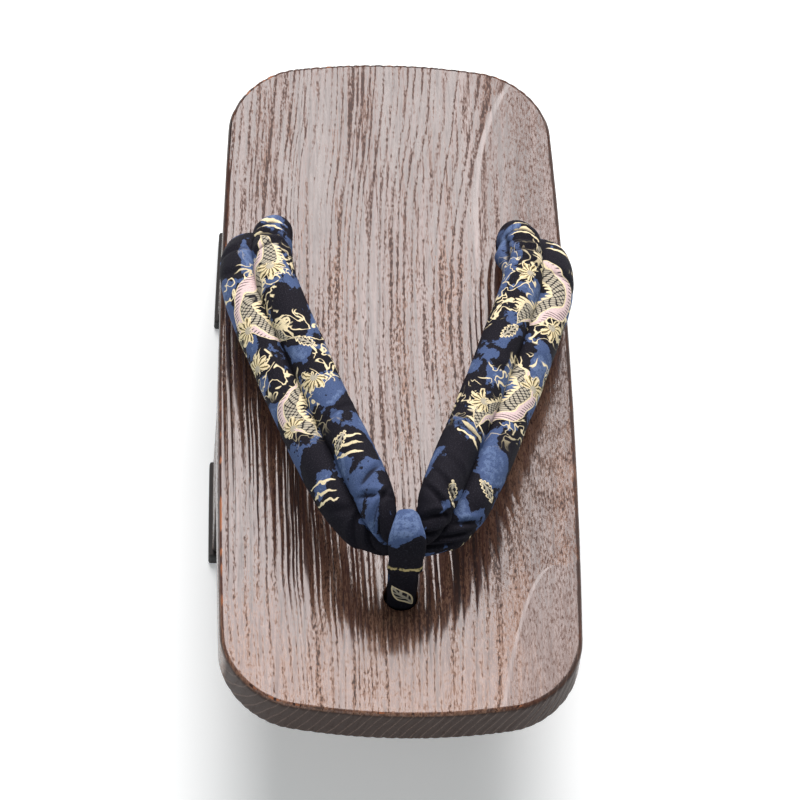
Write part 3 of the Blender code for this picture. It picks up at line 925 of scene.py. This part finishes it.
# Strap: two padded rolls side by side, in mm. One half, from the toe loop back to its hole.
# z is above the deck. toward and lean, in degrees, aim the line from outer to inner roll.
strap = {
    # x, y, z, toward, lean, radius, spacing
    "rows": (
        (0.0, -81.7, 27.8, 90.0, 98.0, 4.4, 6.0),
        (5.8, -81.0, 28.0, 100.0, 84.0, 4.7, 6.6),
        (10.4, -77.4, 29.2, 120.0, 60.0, 6.0, 10.2),
        (15.0, -69.6, 30.2, 142.0, 45.0, 6.7, 12.2),
        (20.4, -57.0, 29.6, 153.0, 35.0, 6.9, 12.6),
        (29.2, -33.5, 27.3, 158.0, 31.0, 6.9, 12.6),
        (37.0, -10.5, 24.9, 161.0, 31.0, 6.9, 12.6),
        (43.2, 8.5, 22.9, 165.0, 31.0, 6.9, 12.6),
        (47.0, 22.0, 21.2, 167.0, 30.0, 6.9, 12.5),
        (47.8, 33.5, 19.2, 164.0, 27.0, 6.9, 12.1),
        (46.9, 41.8, 15.4, 154.0, 22.0, 6.7, 11.0),
        (44.4, 47.3, 9.6, 142.0, 12.0, 6.5, 8.8),
        (42.9, 48.8, 4.4, 135.0, 0.0, 6.2, 5.2),
        (42.7, 48.8, 0.6, 135.0, 0.0, 5.7, 0.7),
    ),
    # below the deck's underside, radius
    "knot": (
        (0.0, 6.0), (0.35, 6.6), (1.6, 8.1), (4.2, 8.8), (7.2, 8.1), (9.4, 6.0), (10.4, 3.0), (10.7, 0.0),
    ),
    "knotStep": 0.6,
    "knotPleats": 6,
    "pleatDepth": 0.05,          # share of the knot's radius
    "pleatTwist": 0.4,
    # swelling of the padding: height, length along, angle round, shift between the rolls, seed
    "puffs": ((0.16, 13.0, 1.1, 7, 61), (0.07, 4.5, 0.6, 5, 62)),
    "step": 0.75,
    "aroundRoll": 52,
    "chartRadius": 6.9,
    "fill": 0.85,
    # soft troughs and ridges: side (-1 left, 1 right), roll (1 inner, -1 outer), distance from the
    # toe, angle from the top crease in degrees, slant, width, length in degrees, depth
    "creases": (
        (-1, 1, 8.5, 55.0, 0.09, 0.8, 50.0, 1.7),
        (-1, 1, 12.5, 80.0, 0.07, 0.8, 50.0, 1.9),
        (-1, 1, 17.5, 95.0, -0.05, 0.9, 50.0, 1.6),
        (-1, 1, 24.0, 105.0, 0.05, 1.0, 45.0, 1.2),
        (-1, -1, 9.0, 33.0, -0.09, 0.8, 50.0, 1.7),
        (-1, -1, 14.0, 46.8, -0.07, 0.9, 50.0, 1.5),
        (-1, -1, 21.0, 52.3, 0.05, 1.3, 45.0, 0.7),
        (-1, 1, 36.0, 85.0, 0.04, 1.2, 50.0, 0.5),
        (-1, 1, 52.0, 90.0, 0.03, 0.9, 60.0, 0.6),
        (-1, -1, 62.0, 44.0, 0.04, 1.5, 45.0, 0.4),
        (-1, 1, 86.0, 70.0, -0.03, 1.4, 50.0, 0.4),
        (-1, -1, 122.0, 46.8, 0.03, 1.2, 60.0, 0.6),
        (-1, 1, 129.0, 80.0, 0.03, 0.9, 80.0, 0.9),
        (-1, -1, 132.0, 49.5, -0.02, 1.1, 60.0, 0.7),
        (-1, 1, 134.0, 90.0, -0.02, 0.8, 80.0, 1.1),
        (-1, 1, 140.0, 90.0, 0.02, 1.0, 80.0, 1.0),
        (1, 1, 8.5, 60.0, -0.09, 0.8, 50.0, 1.7),
        (1, 1, 12.0, 85.0, -0.08, 0.9, 55.0, 2.0),
        (1, 1, 16.0, 100.0, 0.05, 0.9, 50.0, 1.7),
        (1, 1, 21.0, 80.0, 0.06, 0.9, 50.0, 1.3),
        (1, 1, 29.0, 75.0, 0.05, 1.2, 45.0, 0.6),
        (1, 1, 45.0, 85.0, 0.02, 0.9, 75.0, 0.9),
        (1, -1, 8.5, 33.0, 0.1, 0.8, 50.0, 1.7),
        (1, -1, 12.5, 41.2, 0.09, 0.8, 50.0, 1.6),
        (1, -1, 17.0, 49.5, 0.07, 1.0, 45.0, 1.3),
        (1, -1, 22.0, 52.3, -0.03, 1.7, 45.0, 0.5),
        (1, 1, 74.0, 80.0, -0.03, 1.4, 50.0, 0.4),
        (1, -1, 88.0, 46.8, 0.03, 1.5, 50.0, 0.4),
        (1, -1, 124.0, 46.8, -0.03, 1.2, 60.0, 0.7),
        (1, 1, 124.0, 75.0, 0.03, 0.8, 80.0, 0.8),
        (1, 1, 129.0, 80.0, -0.02, 0.8, 80.0, 1.0),
        (1, 1, 133.5, 85.0, 0.02, 0.8, 80.0, 1.0),
        (1, 1, 138.5, 90.0, 0.02, 0.9, 80.0, 1.1),
    ),
    # soft lumps and dents: side, roll, distance from the toe, angle, half length, half angle, height
    "lumps": (
        (1, 1, 133.0, 192.0, 5.5, 30.0, 2.8),
        (1, 1, 132.0, 152.0, 7.0, 10.0, -1.9),
        (-1, 1, 136.0, 95.0, 4.0, 40.0, -0.7),
        (-1, 1, 141.0, 130.0, 4.0, 35.0, 1.0),
        (1, 1, 14.0, 95.0, 4.0, 45.0, 0.6),
        (-1, 1, 14.0, 95.0, 4.0, 45.0, 0.6),
    ),
}


# the half is mirrored, and a smooth curve carries place, aim, radius and spacing along both
def strapPath():
    half = np.array(strap["rows"])
    toward, lean = np.radians(half[:, 3]), np.radians(half[:, 4])
    aim = np.column_stack([np.cos(lean) * np.cos(toward), np.cos(lean) * np.sin(toward), np.sin(lean)])
    right = np.column_stack([half[:, 0:2], half[:, 2] + deckTop, aim, half[:, 5:7]])
    left = (right * (-1, 1, 1, -1, 1, 1, 1, 1))[:0:-1]
    return smoothRows(np.vstack([left, right]), strap["step"])


# the pair's middle line with two axes: across from the outer to the inner roll, and face above both.
# Knots hang below the deck as rings of changing size.
def strapFrames():
    rows = strapPath()
    centre, across, radius, spacing = rows[:, 0:3], rows[:, 3:6], rows[:, 6], rows[:, 7]
    way = np.gradient(centre, axis=0)
    way[0] = (0.0, 0.0, 1.0)
    way[-1] = (0.0, 0.0, -1.0)
    way = unit(way)
    across = unit(across - way * np.sum(across * way, axis=1, keepdims=True))
    face = np.cross(way, across)
    along = lengthAlong(centre)
    along -= along[-1] / 2

    knot = np.array(strap["knot"])
    knotRows = smoothRows(np.column_stack([0 * knot, knot]), strap["knotStep"])
    below, knotRadius = knotRows[:, 2], np.maximum(knotRows[:, 3], 0.0)
    none, throughDeck = 0 * below, deckTop - deckBase

    def hung(place):
        return np.column_stack([none + place[0], none + place[1], deckBase - below])

    def repeated(axis):
        return np.repeat(axis[None], len(below), 0)

    # rows of one knot before and of the other after the rolls' own
    def withKnots(values, first, last):
        return np.concatenate([first[::-1], values, last])

    return (
        withKnots(centre, hung(centre[0]), hung(centre[-1])),
        withKnots(across, repeated(across[0]), repeated(across[-1])),
        withKnots(face, repeated(face[0]), repeated(face[-1])),
        withKnots(radius, knotRadius, knotRadius)[:, None],
        withKnots(spacing, none, none)[:, None],
        withKnots(along, along[0] - throughDeck - below, along[-1] + throughDeck + below)[:, None],
    )


# creases press in as bell curves with a low swell beside them, and lumps stand out as bell curves
def strapPress(along, roll, fromTop):
    angle = np.degrees(fromTop)
    press = 0 * angle
    for arm, which, place, turn, slant, width, length, depth in strap["creases"]:
        offTurn = angle - turn
        offPlace = along * arm - place - slant * offTurn
        crease = bell(offPlace / width) - 0.45 * bell((offPlace - 2 * width) / (1.4 * width))
        press += np.where(roll == which, depth * crease * bell(offTurn / length), 0.0)
    for arm, which, place, turn, length, width, height in strap["lumps"]:
        lump = height * bell((along * arm - place) / length) * bell((angle - turn) / width)
        press -= np.where(roll == which, lump, 0.0)
    return press


# the pair of rolls as two arcs that meet in a crease above and one below
def addStrap(finish):
    centre, across, face, radius, spacing, along = strapFrames()
    crease = np.arccos(-np.minimum(spacing / 2 / np.maximum(radius, 1e-6), 1.0))
    turns = np.linspace(-1.0, 1.0, strap["aroundRoll"], endpoint=False)
    roll = np.repeat([1.0, -1.0], len(turns))[None]
    angle = crease * np.tile(turns, 2)[None]
    fromTop = crease - roll * angle
    side, rest = roll * np.cos(angle), roll * np.sin(angle)

    # padding swells and sinks gently along each roll, creases press in, and knots are pleated
    puff = sum(
        height * softNoise(along / length + roll * shift, fromTop / turn, seed)
        for height, length, turn, shift, seed in strap["puffs"]
    )
    press = strapPress(along, roll, fromTop)
    level = centre[:, 2:3]
    inKnot = level < deckBase + 0.5
    inHole = (level < deckTop + 1.5) & ~inKnot
    pleat = np.sin(strap["knotPleats"] * np.arctan2(rest, side) + strap["pleatTwist"] * along)
    swell = np.where(inKnot, strap["pleatDepth"] * radius * pleat, puff - press)
    swell = np.where(inHole, 0.0, swell)
    size = radius + swell * rise(radius, 0.0, 3.0)
    grid = (
        centre[:, None]
        + (roll * spacing / 2 + size * side)[..., None] * across[:, None]
        + (size * rest)[..., None] * face[:, None]
    )
    chartRound = strap["chartRadius"] * np.concatenate([roll * fromTop, -2 * crease], axis=1)
    chart = clothChart(along, chartRound)
    # the press depth goes to the cloth's finish, which paints shade into the troughs of the creases
    marks = np.stack([np.where(inKnot | inHole, 0.0, press), 0 * press, 0 * press], axis=-1)
    piece = addSkin("strap_rolls", grid * mm, chart=chart, marks=marks)
    piece.data.materials.append(finish)
    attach(piece, "root")
    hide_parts("strap")
    print("strap", len(piece.data.polygons), "faces")


# Toe loop: a cloth band over the pinched strap, both legs down one hole, in mm
loop = {
    # y, z above the deck, half width along x, half thickness
    "rows": (
        (-88.8, -20.0, 4.6, 2.0),
        (-88.8, -8.0, 4.6, 2.0),
        (-88.8, 2.0, 4.7, 2.1),
        (-88.8, 12.0, 4.8, 2.1),
        (-88.8, 16.0, 4.6, 1.8),
        (-88.8, 18.4, 4.4, 1.4),
        (-88.9, 20.6, 5.4, 2.1),
        (-88.9, 26.6, 5.7, 1.7),
        (-88.2, 32.2, 6.2, 1.5),
        (-85.1, 36.5, 5.8, 1.5),
        (-80.8, 37.0, 4.6, 1.5),
        (-76.6, 34.8, 3.4, 1.6),
        (-74.6, 30.4, 2.8, 1.7),
        (-74.4, 25.2, 3.0, 1.7),
        (-76.9, 19.0, 3.8, 1.8),
        (-82.0, 13.4, 4.6, 2.0),
        (-84.0, 7.0, 4.7, 2.1),
        (-84.2, 0.0, 4.6, 2.0),
        (-84.2, -8.0, 4.6, 2.0),
        (-84.2, -20.0, 4.6, 2.0),
    ),
    "step": 0.55,
    "around": 64,
    "squareness": 0.75,
    "fill": 0.5,
    "wrinkles": ((0.18, 5.0, 0.625, 71),),
    "gather": 39.5,              # drawn together this far up the front leg
    "gatherSpread": 4.0,
    "gatherPleats": 9,
    "gatherDepth": 0.3,
    "chartShift": (200.0, 140.0),
    "chartRound": 24.0,
    "knotRadius": 8.1,
    "knotHeight": 11.0,
    "knotGap": 0.35,
    "knotGrid": (40, 96),
    "knotPleats": 7,
    "pleatDepth": 0.06,          # share of the knot's radius
    "pleatTwist": 2.0,
    "knotChart": (8.0, 54.0),    # mm of the chart to a radian down, and once round
}


# the loop's line with a section that is a rounded oblong, drawn into pleats at the gather
def addToeLoop(finish):
    table = np.array(loop["rows"])
    rows = np.column_stack([0 * table[:, 0], table[:, 0], table[:, 1] + deckTop, table[:, 2:4]])
    rows = smoothRows(rows, loop["step"])
    centre, half, thick = rows[:, 0:3], rows[:, 3:4], rows[:, 4:5]
    way = unit(np.gradient(centre, axis=0))
    broad = np.array([1.0, 0.0, 0.0])
    outward = np.cross(broad, way)
    turn = np.linspace(0.0, 2 * math.pi, loop["around"], endpoint=False)
    flat, deep = (
        np.sign(wave) * np.abs(wave) ** loop["squareness"] for wave in (np.cos(turn), np.sin(turn))
    )
    along = lengthAlong(centre)
    gather = bell((along - loop["gather"]) / loop["gatherSpread"])[:, None]
    wrinkle = waves(along[:, None], turn[None], loop["wrinkles"])
    wrinkle = wrinkle + loop["gatherDepth"] * gather * np.sin(loop["gatherPleats"] * turn)[None]
    grid = (
        centre[:, None]
        + ((half + wrinkle) * flat)[..., None] * broad
        + ((thick + wrinkle) * deep)[..., None] * outward[:, None]
    )
    ends = [np.repeat(grid[index].mean(axis=0)[None, None], loop["around"], 1) for index in (0, -1)]
    grid = np.concatenate([ends[0], grid, ends[1]])
    shiftAlong, shiftRound = loop["chartShift"]
    chartAlong = np.concatenate([along[:1], along, along[-1:]])[:, None] + shiftAlong
    chartRound = np.linspace(0.0, loop["chartRound"], loop["around"] + 1)[None] + shiftRound
    band = addSkin("toe_loop_band", grid * mm, chart=clothChart(chartAlong, chartRound))
    band.data.materials.append(finish)
    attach(band, "root")
    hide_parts("toe_loop")
    print("toe loop", len(band.data.polygons), "faces")


# the loop's knot under the deck: an ellipsoid drawn into pleats
def addLoopKnot(finish):
    rows, columns = loop["knotGrid"]
    lift = np.linspace(0.0, math.pi, rows)[:, None]
    spin = np.linspace(0.0, 2 * math.pi, columns, endpoint=False)[None]
    pleat = np.sin(lift) * np.sin(loop["knotPleats"] * spin + loop["pleatTwist"] * lift)
    wide = loop["knotRadius"] * np.sin(lift) * (1 + loop["pleatDepth"] * pleat)
    middleY = (loop["rows"][0][0] + loop["rows"][-1][0]) / 2
    tall = loop["knotHeight"] / 2
    drop = deckBase - loop["knotGap"] - tall
    grid = np.stack(np.broadcast_arrays(
        wide * np.cos(spin), middleY + wide * np.sin(spin), drop + tall * np.cos(lift),
    ), axis=-1)
    down, once = loop["knotChart"]
    chartRound = np.linspace(0.0, once, columns + 1)[None]
    knot = addSkin("toe_loop_knot", grid * mm, chart=clothChart(lift * down, chartRound))
    knot.data.materials.append(finish)
    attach(knot, "root")
    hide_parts("toe_loop")
    print("loop knot", len(knot.data.polygons), "faces")


addStudio()
burntWood = woodFinish()
cloth = clothFinish()
addDeck(burntWood)
for seed, node in enumerate(("front_tooth", "rear_tooth"), start=51):
    addTooth(node, seed, burntWood)
treadRubber = rubberFinish()
for node in ("front_tread", "rear_tread"):
    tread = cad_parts[node]
    tread.data.materials.clear()
    tread.data.materials.append(treadRubber)
addStrap(cloth)
addToeLoop(cloth)
addLoopKnot(cloth)
